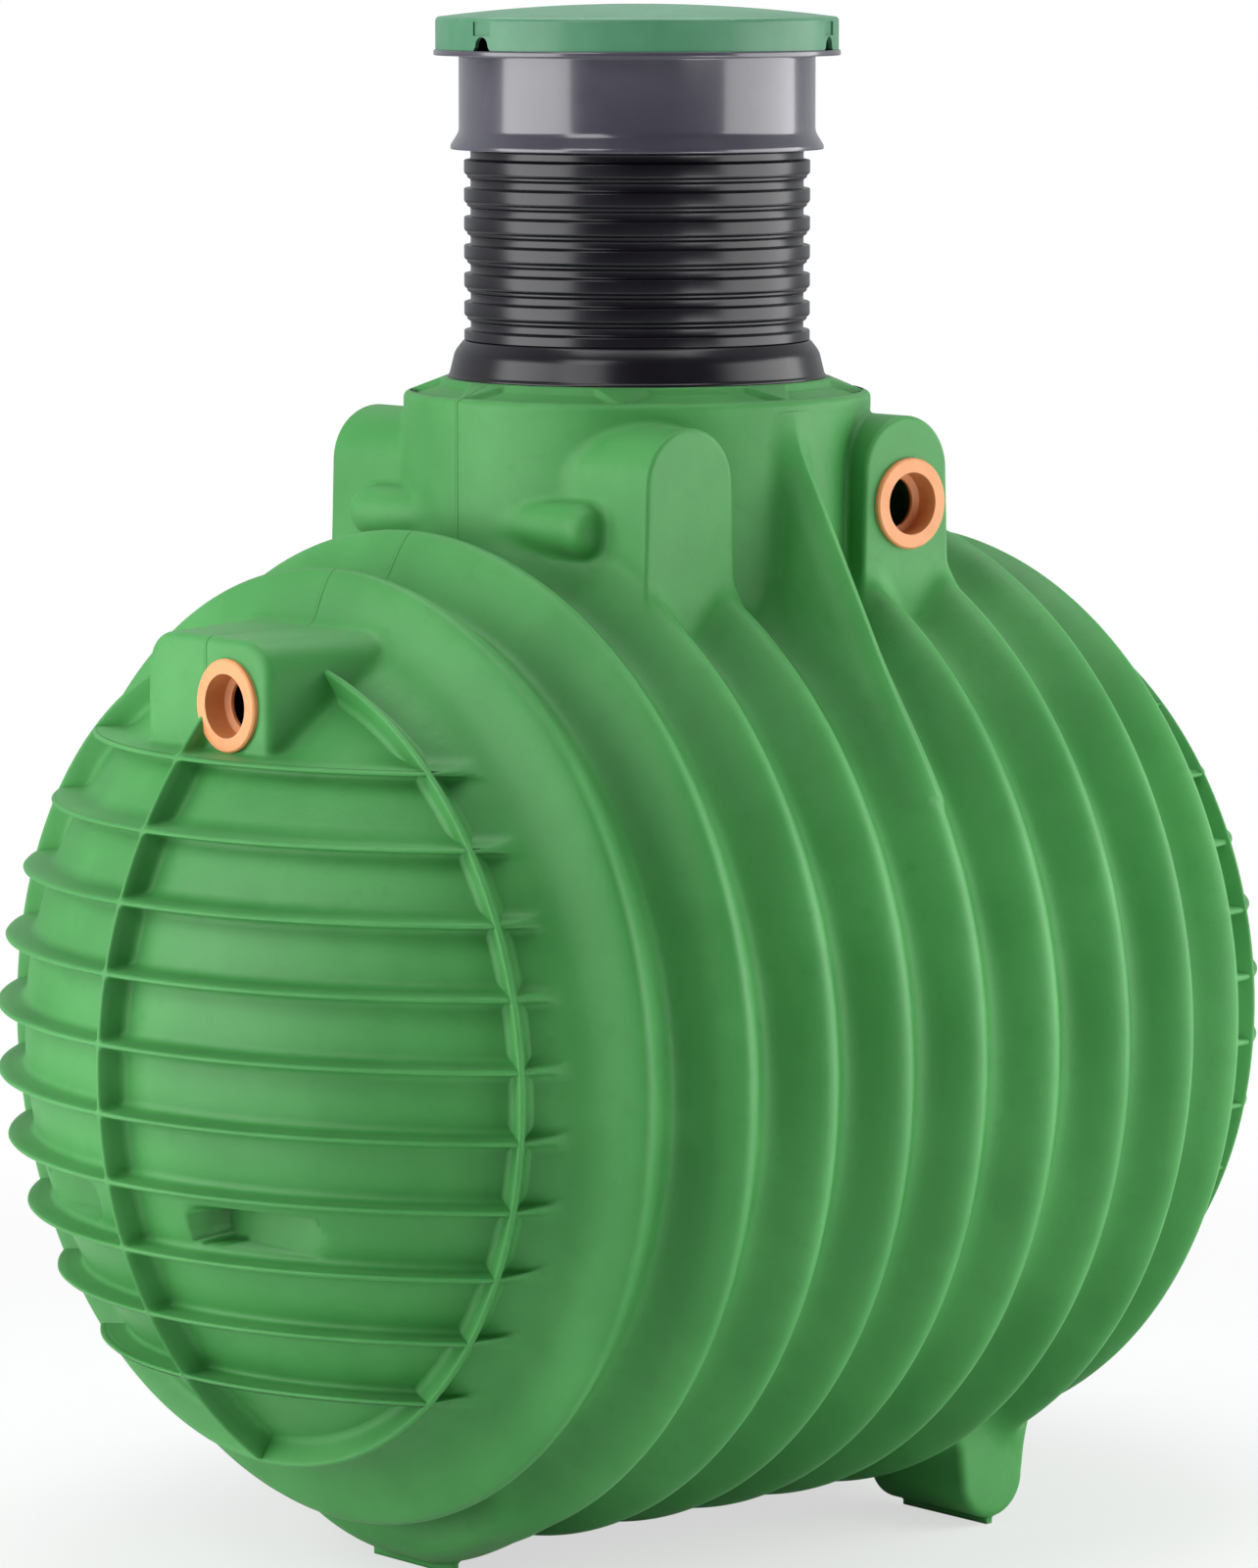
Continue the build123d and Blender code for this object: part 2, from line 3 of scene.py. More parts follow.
import bpy
import numpy as np
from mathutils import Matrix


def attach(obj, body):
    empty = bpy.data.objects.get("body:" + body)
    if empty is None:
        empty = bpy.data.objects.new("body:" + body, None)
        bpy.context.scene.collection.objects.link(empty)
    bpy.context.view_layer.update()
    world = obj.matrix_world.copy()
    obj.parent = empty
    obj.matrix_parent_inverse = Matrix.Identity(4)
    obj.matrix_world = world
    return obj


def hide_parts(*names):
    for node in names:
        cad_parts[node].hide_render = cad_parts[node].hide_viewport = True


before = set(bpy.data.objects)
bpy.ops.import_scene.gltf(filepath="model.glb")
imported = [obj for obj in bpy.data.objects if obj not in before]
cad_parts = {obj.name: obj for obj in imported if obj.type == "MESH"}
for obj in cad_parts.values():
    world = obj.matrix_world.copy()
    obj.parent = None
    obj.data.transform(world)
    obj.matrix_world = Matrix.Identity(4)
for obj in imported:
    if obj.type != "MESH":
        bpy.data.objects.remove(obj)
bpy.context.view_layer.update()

# The studio: a pale floor that fades to white, two broad soft lamps at the sides, one above
# and two weaker ones in front. The camera, turned 41 degrees from the tank's side, stands a
# little above the neck and looks slightly down with a long lens. Places are in metres.
camera_at = (-8.2108, -9.5619, 2.8268)
camera_yaw = math.radians(40.5878)
camera_pitch = math.radians(-6.7036)
camera_data = bpy.data.cameras.new("camera")
camera_data.lens = 162.97
camera_data.sensor_width = 36.0
camera_data.clip_end = 200.0
camera = bpy.data.objects.new("camera", camera_data)
camera.location = camera_at
camera.rotation_euler = (math.pi / 2 + camera_pitch, 0.0, -camera_yaw)
bpy.context.scene.collection.objects.link(camera)
bpy.context.scene.camera = camera
bpy.context.scene.view_settings.view_transform = "Standard"


def lamp(name, place, target, width, height, power):
    """A soft rectangular lamp at a place, turned to its target."""
    data = bpy.data.lights.new(name, "AREA")
    data.shape = "RECTANGLE"
    data.size = width
    data.size_y = height
    data.energy = power
    light = bpy.data.objects.new(name, data)
    bpy.context.scene.collection.objects.link(light)
    way = np.array(target) - np.array(place)
    light.location = place
    turn = math.atan2(-way[0], way[1])
    tip = math.atan2(way[2], math.hypot(way[0], way[1]))
    light.rotation_euler = (math.pi / 2 + tip, 0.0, turn)


view_right = np.array((math.cos(camera_yaw), -math.sin(camera_yaw), 0.0))
view_ahead = np.array((math.sin(camera_yaw), math.cos(camera_yaw), 0.0))
view_up = np.array((0.0, 0.0, 1.0))
middle = np.array((0.0, 0.0, 1.3))


def beside(turn, far, rise):
    """A place at a turn to the right of the camera's side, so far from the object and so high."""
    away = far * (math.sin(turn) * view_right - math.cos(turn) * view_ahead)
    return middle + away + rise * view_up


lamp("lamp_left", beside(math.radians(-68.0), 4.6, 0.7), middle, 4.4, 4.0, 245.0)
lamp("lamp_right", beside(math.radians(88.0), 4.6, 0.7), middle, 5.6, 4.0, 250.0)
lamp("lamp_key", beside(math.radians(-35.0), 5.0, 4.2), middle, 2.6, 2.6, 90.0)
lamp("lamp_fill", beside(math.radians(42.0), 5.0, -0.4), middle, 2.2, 1.6, 55.0)
lamp("lamp_top", beside(math.radians(180.0), 0.6, 4.4), middle, 3.6, 3.6, 165.0)

# The air is dark on the camera's side and light behind the object, so that glossy walls
# show a dark middle between two light flanks. The camera itself sees it white.
world = bpy.data.worlds.new("studio_air")
bpy.context.scene.world = world
world.use_nodes = True
air = world.node_tree
air.nodes.clear()


def air_node(kind, inputs, **settings):
    """One node of the world, with what goes into its sockets."""
    node = air.nodes.new(kind)
    for key, setting in settings.items():
        setattr(node, key, setting)
    for key, value in inputs.items():
        if isinstance(value, bpy.types.NodeSocket):
            air.links.new(value, node.inputs[key])
        else:
            node.inputs[key].default_value = value
    return node.outputs


air_way = air_node("ShaderNodeTexCoord", {})["Generated"]
air_side = air_node("ShaderNodeVectorMath", {0: air_way, 1: tuple(view_ahead)},
                    operation="DOT_PRODUCT")["Value"]
air_level = air_node("ShaderNodeMapRange", {
    "Value": air_side, "From Min": -0.75, "From Max": 0.35, "To Min": 0.03, "To Max": 0.50})[0]
air_light = air_node("ShaderNodeBackground", {
    "Color": (0.94, 0.97, 1.0, 1.0), "Strength": air_level})[0]
air_seen = air_node("ShaderNodeBackground", {"Color": (1.0, 1.0, 1.0, 1.0), "Strength": 1.0})[0]
air_ray = air_node("ShaderNodeLightPath", {})["Is Camera Ray"]
air_pick = air_node("ShaderNodeMixShader", {0: air_ray, 1: air_light, 2: air_seen})[0]
air_node("ShaderNodeOutputWorld", {0: air_pick})


class Value:
    """A number that varies over a surface; sums with it add Math nodes."""

    def __init__(self, finish, socket):
        self.finish = finish
        self.socket = socket

    def __add__(self, other):
        return self.finish.math("ADD", self, other)

    def __radd__(self, other):
        return self.finish.math("ADD", other, self)

    def __sub__(self, other):
        return self.finish.math("SUBTRACT", self, other)

    def __rsub__(self, other):
        return self.finish.math("SUBTRACT", other, self)

    def __mul__(self, other):
        return self.finish.math("MULTIPLY", self, other)

    def __rmul__(self, other):
        return self.finish.math("MULTIPLY", other, self)

    def between(self, low, high):
        """0 below low, 1 above high and a smooth step between them."""
        settings = {"interpolation_type": "SMOOTHSTEP"}
        inputs = {"Value": self, "From Min": low, "From Max": high}
        node = self.finish.add("ShaderNodeMapRange", settings, inputs)
        return Value(self.finish, node.outputs[0])


class Finish:
    """A material under its own name; every node comes from add()."""

    def __init__(self, name):
        self.material = bpy.data.materials.new(name)
        self.material.use_nodes = True
        self.tree = self.material.node_tree
        self.tree.nodes.clear()
        self.output = self.tree.nodes.new("ShaderNodeOutputMaterial")
        self.coordinates = self.tree.nodes.new("ShaderNodeTexCoord").outputs["Object"]

    def add(self, kind, settings, inputs):
        """One node: its settings first, then what goes into its sockets."""
        node = self.tree.nodes.new(kind)
        for key, setting in settings.items():
            setattr(node, key, setting)
        for key, value in inputs.items():
            socket = node.inputs[key]
            if isinstance(value, Value):
                self.tree.links.new(value.socket, socket)
            elif isinstance(value, bpy.types.NodeSocket):
                self.tree.links.new(value, socket)
            else:
                socket.default_value = value
        return node

    def math(self, operation, first, second=0.0):
        """One Math node of a number, or of two."""
        node = self.add("ShaderNodeMath", {"operation": operation}, {0: first, 1: second})
        return Value(self, node.outputs[0])

    def noise(self, scale, detail, rough, vector=None):
        """Soft random number from 0 to 1 with a grain of 1/scale metres."""
        inputs = {"Scale": scale, "Detail": detail, "Roughness": rough}
        inputs["Vector"] = self.coordinates if vector is None else vector
        return Value(self, self.add("ShaderNodeTexNoise", {}, inputs).outputs[0])

    def stretch(self, scale):
        """Object coordinates, squeezed along each axis by the three factors."""
        inputs = {"Vector": self.coordinates, "Scale": scale}
        return self.add("ShaderNodeMapping", {}, inputs).outputs[0]

    def place(self):
        """The three object coordinates in metres, as numbers."""
        split = self.add("ShaderNodeSeparateXYZ", {}, {0: self.coordinates}).outputs
        return [Value(self, socket) for socket in split]

    def mix(self, factor, first, second):
        """The first colour where the factor is 0, the second where it is 1."""
        inputs = {"Factor": factor, 6: first, 7: second}
        return self.add("ShaderNodeMix", {"data_type": "RGBA"}, inputs).outputs[2]

    def bump(self, height, depth, strength, below=None):
        """A normal from a height in units of depth metres."""
        inputs = {"Height": height, "Distance": depth, "Strength": strength}
        if below is not None:
            inputs["Normal"] = below
        return self.add("ShaderNodeBump", {}, inputs).outputs[0]

    def surface(self, inputs):
        """A Principled surface with these sockets, joined to the output."""
        node = self.add("ShaderNodeBsdfPrincipled", {}, inputs)
        self.tree.links.new(node.outputs[0], self.output.inputs["Surface"])


# The floor is white far off and nearly white to the camera, and dull to every other ray.
floor_half = 30.0
floor_finish = Finish("floor_paint")
floor_spot = floor_finish.add(
    "ShaderNodeVectorMath", {"operation": "LENGTH"}, {0: floor_finish.coordinates})
floor_far = Value(floor_finish, floor_spot.outputs["Value"]).between(1.6, 4.5)
floor_ray = floor_finish.add("ShaderNodeLightPath", {}, {})
floor_seen = Value(floor_finish, floor_ray.outputs["Is Camera Ray"])
floor_share = floor_seen * (0.62 + 0.38 * floor_far)
floor_base = floor_finish.add(
    "ShaderNodeBsdfDiffuse", {}, {"Color": (0.80, 0.80, 0.80, 1.0)})
floor_white = floor_finish.add(
    "ShaderNodeEmission", {}, {"Color": (1.0, 1.0, 1.0, 1.0), "Strength": 1.0})
floor_mix = floor_finish.add("ShaderNodeMixShader", {}, {
    0: floor_share, 1: floor_base.outputs[0], 2: floor_white.outputs[0]})
floor_finish.tree.links.new(floor_mix.outputs[0], floor_finish.output.inputs["Surface"])
floor_mesh = bpy.data.meshes.new("floor")
floor_mesh.from_pydata(
    [(-floor_half, -floor_half, 0.0), (floor_half, -floor_half, 0.0),
     (floor_half, floor_half, 0.0), (-floor_half, floor_half, 0.0)], [], [(0, 1, 2, 3)])
floor_mesh.materials.append(floor_finish.material)
floor = bpy.data.objects.new("floor", floor_mesh)
bpy.context.scene.collection.objects.link(floor)


# The tank body: one hollow moulding of green polyethylene, turned in a heated mould, so
# every wall flows into the next with a soft fillet and keeps a fine powdery grain. Its
# skin is one distance form in millimetres about the tank axis, joined from those of its parts.
axis_height = 939.0
wall_thickness = 9.0


def soft_union(a, b, width):
    """The nearer of two forms, with a fillet as wide as the given width."""
    near = np.maximum(width - np.abs(a - b), 0.0)
    return np.minimum(a, b) - near * near / (4 * width)


def soft_meet(a, b, width):
    """What two forms share, with its edges rounded over the given width."""
    return -soft_union(-a, -b, width)


# Barrel: crests and valleys by turns from mid length outward.
ring_places = np.array((0, 85.5, 171, 256.5, 342, 427.5, 513, 598.5, 684, 769.5))
ring_radii = np.array((900, 836, 900, 836, 900, 828, 888, 786, 832, 690.0))
crest_radius = 900.0


def ring_table():
    """Half profile of the barrel: a smooth step from each crest to the next valley."""
    x = np.arange(0.0, 770.0)
    step = np.clip(np.searchsorted(ring_places, x, side="right") - 1, 0, len(ring_places) - 2)
    t = (x - ring_places[step]) / (ring_places[step + 1] - ring_places[step])
    ease = t * t * (3 - 2 * t)
    radius = ring_radii[step] + (ring_radii[step + 1] - ring_radii[step]) * ease
    return x, radius, np.gradient(radius)


ring_x, ring_r, ring_slope = ring_table()


def barrel_form(x, y, z):
    """Distance to the ringed barrel: radius less ring profile, over its slant."""
    along = np.abs(x)
    slant = np.sqrt(1 + np.interp(along, ring_x, ring_slope) ** 2)
    side = (np.hypot(y, z) - np.interp(along, ring_x, ring_r)) / slant
    return np.maximum(side, along - ring_x[-1])


# Domed ends, with a pocket sunk on each side of the middle rib.
dome_radius = 850.0
dome_centre = 301.0
dome_root = 690.0
pocket_y = 257.5
pocket_half_y = 127.5
pocket_z = -245.0
pocket_half_z = 30.0
pocket_corner = 24.0
pocket_floor = 1020.0
pocket_edge = 14.0


def end_form(x, y, z):
    """Distance to the domed ends: a sphere about a point on the axis, with sunk pockets."""
    along = np.abs(x)
    dome = np.sqrt((along - dome_centre) ** 2 + y * y + z * z) - dome_radius
    across = np.maximum(np.abs(np.abs(y) - pocket_y) - pocket_half_y + pocket_corner, 0)
    upright = np.maximum(np.abs(z - pocket_z) - pocket_half_z + pocket_corner, 0)
    slot = np.hypot(across, upright) - pocket_corner
    pocket = np.maximum(slot, pocket_floor - along)
    return np.maximum(soft_meet(dome, -pocket, pocket_edge), dome_root - along)


# Ribs on the ends: ten cross ribs and a middle rib, in a dish shaped room over the dome.
rib_top_radius = 900.0
rib_end_radius = 710.0
rib_root = 700.0
rib_half = 4.3
rib_draft = 0.09
rib_corner = 8.0
rib_crossing = 10.0
rib_edge = 7.0
cross_rib_top = 530.0
cross_rib_pitch = 118.4
cross_rib_last = 9


def rib_form(x, y, z):
    """Distance to the cross ribs and the middle rib: drafted plates within their room."""
    along = np.abs(x)
    reach = np.sqrt((along - dome_centre) ** 2 + y * y + z * z)
    rim = np.hypot(y, z) - rib_end_radius
    room = np.maximum(soft_meet(reach - rib_top_radius, rim, rib_corner), rib_root - along)
    half = rib_half + rib_draft * np.maximum(rib_top_radius - reach, 0.0)
    which = np.clip(np.round((cross_rib_top - z) / cross_rib_pitch), 0, cross_rib_last)
    cross = np.abs(z - cross_rib_top + which * cross_rib_pitch) - half
    plates = soft_union(cross, np.abs(y) - half, rib_crossing)
    return soft_meet(plates, room, rib_edge)


# Inlet box: its face, its flanks with their draft, its top and its foot.
inlet_face = 965.0
inlet_root = 690.0
inlet_half = 168.0
inlet_draft = 0.23
inlet_slant = 1.03
inlet_top = 733.0
inlet_rise = 0.02
inlet_low = 536.0
inlet_round = 76.0
inlet_low_edge = 8.0
inlet_face_edge = 20.0


def inlet_box_form(x, y, z):
    """Distance to the drafted box that carries the inlet seal, on the -X end."""
    depth = np.maximum(inlet_face + x, 0.0)
    across = (np.abs(y) - inlet_half - inlet_draft * depth) / inlet_slant
    over = z - inlet_top - inlet_rise * depth
    outline = soft_meet(soft_meet(across, over, inlet_round), inlet_low - z, inlet_low_edge)
    return soft_meet(outline, np.maximum(-inlet_face - x, inlet_root + x), inlet_face_edge)


# Buttress fins, from the crest of the middle ring up to their apex on the neck wall.
neck_radius = 414.5
fin_apex = 1068.0
fin_half = 24.0
fin_draft = 0.20
fin_depth = 60.0
fin_edge = 46.0


def fin_form(x, y, z):
    """Distance to the buttresses: a ring's crest led straight on to the neck wall."""
    side = np.abs(y)
    reach = math.hypot(neck_radius, fin_apex)
    lean = math.asin(crest_radius / reach) - math.asin(neck_radius / reach)
    above = side * math.cos(lean) + z * math.sin(lean) - crest_radius
    onward = z * math.cos(lean) - side * math.sin(lean)
    flank = np.abs(x) - fin_half - fin_draft * np.maximum(-above, 0.0)
    inner = neck_radius - fin_depth - side
    blade = soft_meet(above, flank, fin_edge)
    return np.maximum(np.maximum(blade, -onward), inner)


# Connection boxes round the neck, each with a lobe that sinks towards the neck.
box_x = 252.0
box_face = 434.0
box_half = 97.0
box_draft = 0.031
box_top = 1076.0
box_edge = 10.0
lobe_x = 368.0
lobe_z = 898.0
lobe_radius = 46.0
lobe_end = 326.0
lobe_sink = 24.0
lobe_edge = 44.0
lobe_fillet = 16.0


def box_form(x, y, z):
    """Distance to the four connection boxes: round topped, drafted, with a side lobe."""
    across = np.abs(np.abs(x) - box_x)
    out = np.abs(y)
    spring = box_top - box_half
    arch = np.hypot(across, z - spring) - box_half
    flank = across - box_half - box_draft * np.maximum(spring - z, 0.0)
    outline = np.where(z > spring, arch, flank)
    body = soft_meet(outline, out - box_face, box_edge)
    sunk = lobe_sink * np.clip(1 - out / lobe_end, 0, 1)
    rod = np.hypot(np.abs(x) - lobe_x + sunk, z - lobe_z) - lobe_radius
    lobe = soft_meet(rod, out - lobe_end, lobe_edge)
    return soft_union(body, lobe, lobe_fillet)


# Neck: its root lies hidden inside the barrel.
neck_top = 1100.0
neck_root = 300.0
shoulder_round = 12.0
box_fillet = 13.0
fin_fillet = 30.0


def neck_form(x, y, z):
    """Distance to the round neck with its boxes and fins."""
    neck = np.maximum(np.hypot(x, y) - neck_radius, z - neck_top - shoulder_round)
    joined = soft_union(neck, box_form(x, y, z), box_fillet)
    return np.maximum(soft_union(joined, fin_form(x, y, z), fin_fillet), neck_root - z)


# Feet: two at the outlet side and a wide one with drafted flanks at the inlet side.
foot_half = 75.0
foot_draft = 0.13
foot_low = 925.0
foot_outer_x = 472.0
foot_outer_from = 185.0
foot_outer_to = 439.0
foot_outer_edge = 16.0
foot_wide_x = -513.0
foot_wide_low_y = 115.0
foot_wide_high_y = 320.0
foot_wide_high_z = 816.0
foot_wide_limit = 330.0
foot_wide_slope = 0.8
foot_wide_edge = 40.0
foot_root = -300.0
ridge_half = 6.5
ridge_low = 938.0
ridge_outer_from = 205.0
ridge_outer_to = 428.0
ridge_wide_half_y = 112.0
ridge_fillet = 6.0


def foot_bar(x, z, centre):
    """Distance to a bar along Y: a half round bottom below two drafted flanks."""
    across = np.abs(x - centre)
    spring = foot_half - foot_low
    bowl = np.hypot(across, z - spring) - foot_half
    sides = across - foot_half - foot_draft * np.maximum(z - spring, 0.0)
    return np.where(z < spring, bowl, sides)


def ridge_form(x, z, centre, ends):
    """Distance to the thin ridge below a foot: a plate about its middle, cut at its ends."""
    plate = np.maximum(np.abs(x - centre) - ridge_half, -ridge_low - z)
    return np.maximum(plate, ends)


def foot_form(x, y, z):
    """Distance to the three feet: rounded bars across the tank with a seam ridge below."""
    out = np.abs(y)
    ends = np.maximum(out - foot_outer_to, foot_outer_from - out)
    outer = soft_meet(foot_bar(x, z, foot_outer_x), ends, foot_outer_edge)
    ridge_ends = np.maximum(out - ridge_outer_to, ridge_outer_from - out)
    outer = soft_union(outer, ridge_form(x, z, foot_outer_x, ridge_ends), ridge_fillet)
    rise = foot_low - foot_wide_high_z
    run = foot_wide_high_y - foot_wide_low_y
    flank = (rise * (out - foot_wide_low_y) + run * (-z - foot_low)) / math.hypot(rise, run)
    flank = soft_meet(flank, foot_wide_slope * (out - foot_wide_limit), foot_wide_edge)
    wide = soft_meet(foot_bar(x, z, foot_wide_x), flank, foot_wide_edge)
    wide_ridge = ridge_form(x, z, foot_wide_x, out - ridge_wide_half_y)
    wide = soft_union(wide, wide_ridge, ridge_fillet)
    return np.maximum(np.minimum(outer, wide), z - foot_root)


# The whole moulding, with the fillets where its parts flow together.
end_fillet = 16.0
foot_fillet = 36.0
neck_fillet = 30.0


def moulding(points):
    """Distance to the outside of the whole tank body at every grid point."""
    x = points[..., 0]
    y = points[..., 1]
    z = points[..., 2]
    ends = soft_union(end_form(x, y, z), rib_form(x, y, z), end_fillet)
    ends = soft_union(ends, inlet_box_form(x, y, z), end_fillet)
    body = soft_union(barrel_form(x, y, z), ends, end_fillet)
    body = soft_union(body, foot_form(x, y, z), foot_fillet)
    return soft_union(body, neck_form(x, y, z), neck_fillet)


def form_of(form, points):
    """A part's distance at grid points."""
    return form(points[..., 0], points[..., 1], points[..., 2])


def moulding_normals(points):
    """Direction in which the moulding's distance grows fastest, as unit vectors."""
    slopes = []
    for axis in range(3):
        shift = np.zeros(3)
        shift[axis] = 0.4
        slopes.append(moulding(points + shift) - moulding(points - shift))
    vector = np.stack(slopes, -1)
    return vector / np.maximum(np.linalg.norm(vector, axis=-1, keepdims=True), 1e-9)


def moulded_green(name, base, light, dark):
    """Rotation moulded polyethylene: clouded colour, powdery grain and a satin surface.
    A fine parting line runs up the neck in the plane of the tank axis."""
    finish = Finish(name)
    cloud = finish.noise(3.2, 3.0, 0.55)
    grain = finish.noise(420.0, 2.0, 0.6)
    speck = finish.noise(1500.0, 1.0, 0.5)
    patch = finish.noise(28.0, 4.0, 0.6)
    tone = finish.mix(cloud.between(0.35, 0.70), base, light)
    tone = finish.mix(patch.between(0.52, 0.85) * 0.35, tone, dark)
    tone = finish.mix(grain.between(0.45, 0.75) * 0.22, tone, light)
    rough = 0.44 + 0.10 * cloud + 0.06 * grain
    soft = finish.bump(patch, 0.0009, 0.6)
    normal = finish.bump(grain + 0.5 * speck, 0.00045, 0.7, soft)
    x, y, z = finish.place()
    seam = (1.0 - finish.math("ABSOLUTE", y).between(0.0015, 0.0050)) * z.between(1.60, 1.61)
    tone = finish.mix(0.5 * seam, tone, light)
    normal = finish.bump(seam, 0.003, 1.0, normal)
    finish.surface({"Base Color": tone, "Roughness": rough, "Normal": normal,
                    "Specular IOR Level": 0.38, "Sheen Weight": 0.06, "Sheen Roughness": 0.4})
    return finish.material


tank_green = moulded_green("tank_green", (0.036, 0.218, 0.044, 1.0),
                           (0.054, 0.266, 0.062, 1.0), (0.026, 0.168, 0.032, 1.0))


# The barrel: nine deep rings that stiffen the moulding. Its skin is drawn in four quarters,
# by rays square to the tank axis, and ends a little past the neck, the feet and the domed
# ends, where it dips under theirs.
def placed(name, mesh, finish, body, slot, *nodes):
    """Puts a mesh into the scene in its finish, on its body and in place of its nodes."""
    mesh.materials.append(finish)
    piece = bpy.data.objects.new(name, mesh)
    bpy.context.scene.collection.objects.link(piece)
    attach(piece, body)
    if nodes:
        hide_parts(*nodes)


def moulded_wall(name, outside, outward, quads, thickness, *nodes):
    """A closed wall: faces outside, the same set inward by the thickness, and rims between."""
    used, packed = np.unique(quads, return_inverse=True)
    quads = packed.reshape(-1, 4)
    outside = outside.reshape(-1, 3)[used]
    outward = outward.reshape(-1, 3)[used]
    first = outside[quads[:, 2]] - outside[quads[:, 0]]
    second = outside[quads[:, 3]] - outside[quads[:, 1]]
    turned = np.einsum("ij,ij->i", np.cross(first, second), outward[quads].mean(1)) < 0
    quads[turned] = quads[turned][:, ::-1]
    count = len(used)
    edges = np.stack([quads, np.roll(quads, -1, axis=1)], -1).reshape(-1, 2)
    ends = np.sort(edges, 1)
    key = ends[:, 0] * count + ends[:, 1]
    _, where, times = np.unique(key, return_index=True, return_counts=True)
    rim = edges[where[times == 1]]
    rims = np.stack([rim[:, 1], rim[:, 0], rim[:, 0] + count, rim[:, 1] + count], -1)
    faces = np.concatenate([quads, quads[:, ::-1] + count, rims])
    places = np.concatenate([outside, outside - outward * thickness])
    places = (places + (0.0, 0.0, axis_height)) / 1000.0
    mesh = bpy.data.meshes.new(name)
    mesh.vertices.add(len(places))
    mesh.vertices.foreach_set("co", places.ravel())
    mesh.loops.add(faces.size)
    mesh.loops.foreach_set("vertex_index", faces.ravel())
    mesh.polygons.add(len(faces))
    mesh.polygons.foreach_set("loop_start", np.arange(0, faces.size, 4))
    mesh.polygons.foreach_set("use_smooth", np.ones(len(faces), bool))
    mesh.update(calc_edges=True)
    mesh.normals_split_custom_set_from_vertices(np.concatenate([outward, -outward]))
    placed(name, mesh, tank_green, "tank", "tank_green", *nodes)


def grid_quads(keep):
    """The faces of a grid whose four corners are all kept."""
    index = np.arange(keep.size).reshape(keep.shape)
    quads = np.stack([index[:-1, :-1], index[1:, :-1], index[1:, 1:], index[:-1, 1:]], -1)
    whole = keep[:-1, :-1] & keep[1:, :-1] & keep[1:, 1:] & keep[:-1, 1:]
    return quads[whole]


def grid_lines(low, high, gap, centres, offsets):
    """Grid lines at an even gap, with a bundle of lines at fixed offsets round each centre."""
    coarse = np.arange(low, high + gap / 2, gap)
    near = np.abs(coarse[:, None] - np.array(centres)).min(1) < max(offsets) + gap / 3
    both = [-np.array(offsets), np.array(offsets)]
    fine = (np.array(centres)[:, None] + np.unique(np.concatenate(both))).ravel()
    fine = fine[(fine >= low) & (fine <= high)]
    return np.unique(np.round(np.concatenate([coarse[~near], fine]), 3))


skirt_dip = 1.5
skirt_run = 10.0


def tucked(points, normals, margin):
    """Past its own edge a part's skin dips a little under its neighbour's."""
    return points - normals * (skirt_dip * np.clip(margin / skirt_run, 0.0, 1.0))[..., None]


ray_steps = 90
ray_pace = 0.75


def skin_from_rays(name, start, way, margin_rule, reach, *nodes):
    """Every grid point walks along its way, by a share of its distance, to the moulding; what
    has landed within the part's own edge and a skirt as wide as the reach becomes its skin."""
    travel = np.zeros(start.shape[:-1])
    for _ in range(ray_steps):
        travel += ray_pace * moulding(start + way * travel[..., None])
    points = start + way * travel[..., None]
    landed = np.abs(moulding(points)) < 1.0
    normals = moulding_normals(points)
    margin = margin_rule(points)
    quads = grid_quads(landed & (margin < reach))
    moulded_wall(name, tucked(points, normals, margin), normals, quads, wall_thickness, *nodes)


seam_radius = 721.0
seam_from = 700.0


def barrel_margin(points):
    """How far a point lies past the barrel's edges, towards neck, feet, box or dome."""
    own = form_of(barrel_form, points)
    margin = own - np.minimum(form_of(neck_form, points), form_of(foot_form, points))
    margin = np.maximum(margin, own - form_of(inlet_box_form, points))
    domed = seam_radius - np.hypot(points[..., 1], points[..., 2])
    past = np.where(np.abs(points[..., 0]) > seam_from, domed, -100.0)
    return np.maximum(margin, past)


barrel_reach = 9.0
barrel_end = 757.0
quarter_turn = 90.4
turn_gap = 0.75
foot_places = np.array((foot_wide_x, foot_outer_x))
foot_edges = np.concatenate([foot_places - foot_half, foot_places + foot_half])
foot_edge_lines = (0.0, 2.5, 5.0, 7.5, 10.0, 13.0, 17.0)
even_lines = grid_lines(-barrel_end, barrel_end, 9.0, foot_edges, foot_edge_lines)
even_lines = even_lines[np.abs(even_lines) < seam_from - 1.0]
ridge_lines = np.add.outer(foot_places, (-6.6, -6.2, 0.0, 6.2, 6.6)).ravel()
seam_lines = np.arange(seam_from, barrel_end + 1.0, 4.0)
barrel_lines = np.unique(np.concatenate([even_lines, ridge_lines, seam_lines, -seam_lines]))
barrel_quarters = {
    "barrel_upper_front": (0.0, ("shell_crown_inlet", "shell_upper_front", "shell_front")),
    "barrel_lower_front": (90.0, ("shell_lower_front", "shell_bottom")),
    "barrel_lower_rear": (180.0, ("shell_lower_rear",)),
    "barrel_upper_rear": (270.0, ("shell_crown_outlet", "shell_upper_rear", "shell_rear")),
}
for part_name, (first_angle, part_nodes) in barrel_quarters.items():
    angle = np.radians(np.arange(first_angle, first_angle + quarter_turn, turn_gap))
    x_grid, turn = np.meshgrid(barrel_lines, angle, indexing="ij")
    nothing = np.zeros_like(x_grid)
    ray_way = np.stack([nothing, np.sin(turn), -np.cos(turn)], -1)
    just_outside = np.interp(np.abs(x_grid), ring_x, ring_r) + 2.0
    ray_start = np.stack([x_grid, nothing, nothing], -1) - ray_way * just_outside[..., None]
    skin_from_rays(part_name, ray_start, ray_way, barrel_margin, barrel_reach, *part_nodes)


